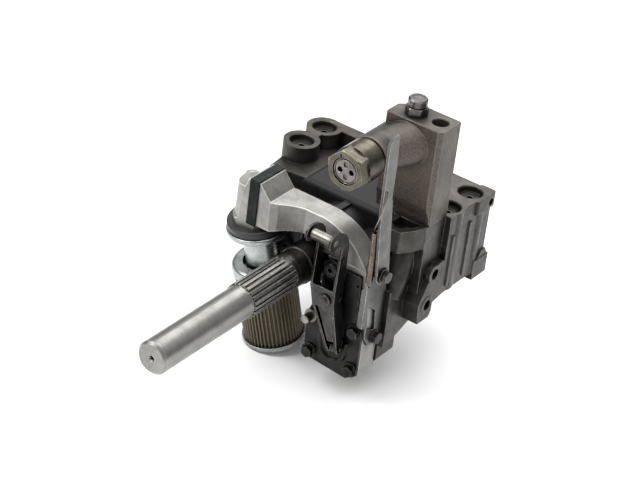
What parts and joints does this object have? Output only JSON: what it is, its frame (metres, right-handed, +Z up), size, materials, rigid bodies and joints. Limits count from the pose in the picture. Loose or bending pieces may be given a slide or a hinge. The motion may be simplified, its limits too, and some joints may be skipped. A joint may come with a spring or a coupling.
{
  "type": "reciprocating piston hydraulic pump",
  "caption": "Hydraulic lift pump: splined drive shaft, opposed pistons worked by eccentrics, valve chests, relief valve, control lever linkage and suction filter.",
  "frame": {"origin": "on the drive axis, where the smooth journal meets the spline", "axes": "+Y along the drive axis from the free end into the pump, +Z up, +X to the right seen from the shaft end"},
  "size_m": [0.2225, 0.43, 0.3224],
  "materials": {
    "ground_steel": "satin",
    "hardened_steel": "satin",
    "dark_steel": "oiled",
    "black_painted_iron": "satin",
    "machined_cast_iron": "machined",
    "rough_cast_iron": "rough cast",
    "cast_aluminium": "sand cast",
    "zinc_steel": "bright zinc plated",
    "yellow_zinc_steel": "olive plated",
    "wire_cloth": "woven",
    "bronze": "machined",
    "black_rubber": "matt",
    "gasket_paper": "matt",
    "spring_steel": "copper brown",
    "bolt_steel": "black oxide"
  },
  "bodies": {
    "pump": {"cylinder_liners": "hardened_steel", "front_bush": "bronze", "rear_bush": "bronze", "shaft_seal": "black_rubber", "pump_body": "black_painted_iron", "left_valve_chest": "black_painted_iron", "right_valve_chest": "machined_cast_iron", "control_valve_housing": "machined_cast_iron", "rear_cover": "black_painted_iron", "rear_cover_bolts": "bolt_steel", "front_cover": "cast_aluminium", "cover_gasket": "gasket_paper", "housing_clip": "dark_steel", "valve_retainers": "hardened_steel", "relief_block": "rough_cast_iron", "block_bolt": "yellow_zinc_steel", "relief_valve_body": "yellow_zinc_steel", "relief_adjuster": "yellow_zinc_steel", "relief_spring": "spring_steel", "filter_seal": "black_rubber", "suction_tube": "zinc_steel", "filter_cap": "zinc_steel", "filter_mesh": "wire_cloth", "filter_core": "zinc_steel", "filter_base": "zinc_steel", "control_plate": "bolt_steel", "cover_bolts": "bolt_steel", "stub_pin": "dark_steel", "spool_boss": "bolt_steel", "pivot_lug": "dark_steel", "pivot_pin": "hardened_steel", "spool_spring": "spring_steel", "side_bracket": "zinc_steel", "bracket_bolt": "bolt_steel", "blade_bolt": "dark_steel", "blade_spacers": "hardened_steel", "tension_spring": "spring_steel"},
    "drive_line": {"drive_shaft": "ground_steel", "camshaft": "hardened_steel"},
    "front_cam_block": {"cam_block_front": "bronze"},
    "rear_cam_block": {"cam_block_rear": "bronze"},
    "front_pistons": {"piston_yoke_front": "hardened_steel", "piston_front_left": "ground_steel", "piston_front_right": "ground_steel"},
    "rear_pistons": {"piston_yoke_rear": "hardened_steel", "piston_rear_left": "ground_steel", "piston_rear_right": "ground_steel"},
    "control_lever": {"control_lever": "dark_steel", "roller_pin": "ground_steel", "lever_cross_pins": "hardened_steel", "inner_link": "dark_steel"},
    "lever_roller": {"lever_roller": "ground_steel"},
    "control_spool": {"control_spool": "ground_steel", "spool_washer": "ground_steel"},
    "blade_lever": {"blade_lever": "zinc_steel"},
    "relief_poppet": {"relief_poppet": "hardened_steel"},
    "ball_front_left": {"valve_ball_front_left": "ground_steel"},
    "ball_front_right": {"valve_ball_front_right": "ground_steel"},
    "ball_rear_left": {"valve_ball_rear_left": "ground_steel"},
    "ball_rear_right": {"valve_ball_rear_right": "ground_steel"}
  },
  "joints": [
    {"name": "shaft_spin", "type": "hinge", "parent": "pump", "child": "drive_line", "pos_m": [0, 0, 0], "axis": [0, 1, 0], "continuous": true},
    {"name": "front_block_turn", "type": "hinge", "parent": "drive_line", "child": "front_cam_block", "pos_m": [0, 0.223, 0.003], "axis": [0, 1, 0], "continuous": true},
    {"name": "rear_block_turn", "type": "hinge", "parent": "drive_line", "child": "rear_cam_block", "pos_m": [0, 0.264, -0.003], "axis": [0, 1, 0], "continuous": true},
    {"name": "front_piston_stroke", "type": "slide", "parent": "pump", "child": "front_pistons", "axis": [1, 0, 0], "range_m": [-0.003, 0.003]},
    {"name": "rear_piston_stroke", "type": "slide", "parent": "pump", "child": "rear_pistons", "axis": [1, 0, 0], "range_m": [-0.003, 0.003]},
    {"name": "lever_tilt", "type": "hinge", "parent": "pump", "child": "control_lever", "pos_m": [0.053, 0.1, -0.076], "axis": [1, 0, 0], "range_deg": [-1.5, 6], "stiffness_Nm_per_rad": 1},
    {"name": "roller_spin", "type": "hinge", "parent": "control_lever", "child": "lever_roller", "pos_m": [0.03575, 0.0793, 0.0555], "axis": [1, 0, 0], "continuous": true},
    {"name": "spool_travel", "type": "slide", "parent": "pump", "child": "control_spool", "axis": [0, -1, 0], "range_m": [-0.0025, 0.0065], "deforming": ["spool_spring"]},
    {"name": "blade_swing", "type": "hinge", "parent": "pump", "child": "blade_lever", "pos_m": [0.0885, 0.1115, 0.0222], "axis": [1, 0, 0], "range_deg": [-5, 10], "stiffness_Nm_per_rad": 1.5, "deforming": ["tension_spring"]},
    {"name": "poppet_lift", "type": "slide", "parent": "pump", "child": "relief_poppet", "axis": [0, -1, 0], "range_m": [0, 0.003], "stiffness_N_per_m": 2000, "springref_m": -0.002, "deforming": ["relief_spring"]},
    {"name": "front_left_ball_lift", "type": "slide", "parent": "pump", "child": "ball_front_left", "axis": [0, 0, 1], "range_m": [0, 0.003]},
    {"name": "front_right_ball_lift", "type": "slide", "parent": "pump", "child": "ball_front_right", "axis": [0, 0, 1], "range_m": [0, 0.003]},
    {"name": "rear_left_ball_lift", "type": "slide", "parent": "pump", "child": "ball_rear_left", "axis": [0, 0, 1], "range_m": [0, 0.003]},
    {"name": "rear_right_ball_lift", "type": "slide", "parent": "pump", "child": "ball_rear_right", "axis": [0, 0, 1], "range_m": [0, 0.003]}
  ],
  "couplings": [
    {"joint": "front_block_turn", "follows": "shaft_spin", "ratio": -1},
    {"joint": "rear_block_turn", "follows": "shaft_spin", "ratio": -1},
    {"joint": "spool_travel", "follows": "lever_tilt", "m_per_rad": 0.0555}
  ]
}
